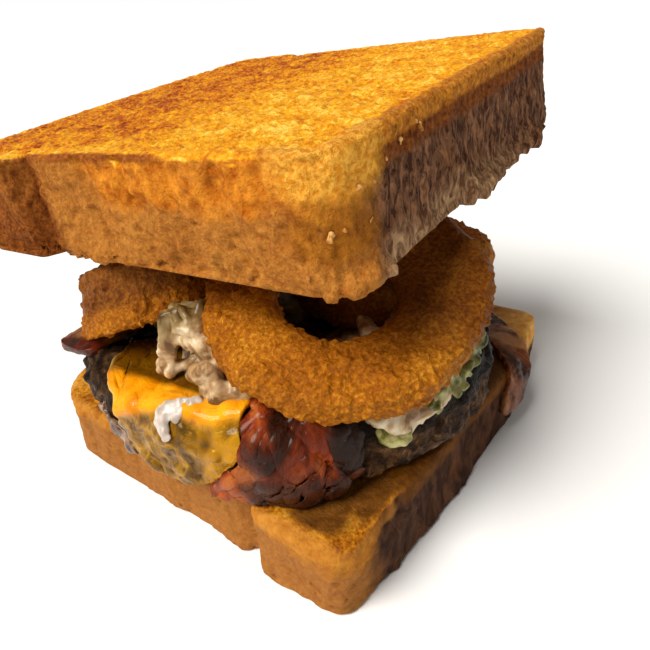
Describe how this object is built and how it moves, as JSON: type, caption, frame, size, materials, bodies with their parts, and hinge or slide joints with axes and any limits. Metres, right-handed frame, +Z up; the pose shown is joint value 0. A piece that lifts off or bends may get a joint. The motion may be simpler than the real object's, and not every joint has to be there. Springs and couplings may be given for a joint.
{
  "type": "hamburger",
  "caption": "Hamburger on thick toasted bread slices with patty, melted cheese, bacon, creamy slaw and fried onion rings.",
  "frame": {"origin": "middle of the bottom slice's underside, on the surface that it rests on", "axes": "+Z up, +Y towards the base of the bottom slice, +X to the right when looking along +Y"},
  "size_m": [0.1298, 0.1372, 0.1131],
  "materials": {
    "toast": "buttered, griddled white bread",
    "patty": "charred minced beef",
    "cheese": "melted processed cheese, glossy",
    "bacon": "fried streaky bacon, greasy",
    "slaw": "cabbage shreds in cream dressing",
    "onion_ring": "fried coarse breadcrumbs"
  },
  "bodies": {
    "root": {"bread_bottom": "toast", "bread_top": "toast", "patty": "patty", "cheese": "cheese", "bacon_front": "bacon", "bacon_left": "bacon", "bacon_right": "bacon", "slaw": "slaw", "ring_front": "onion_ring", "ring_back": "onion_ring", "ring_left": "onion_ring"}
  },
  "joints": []
}
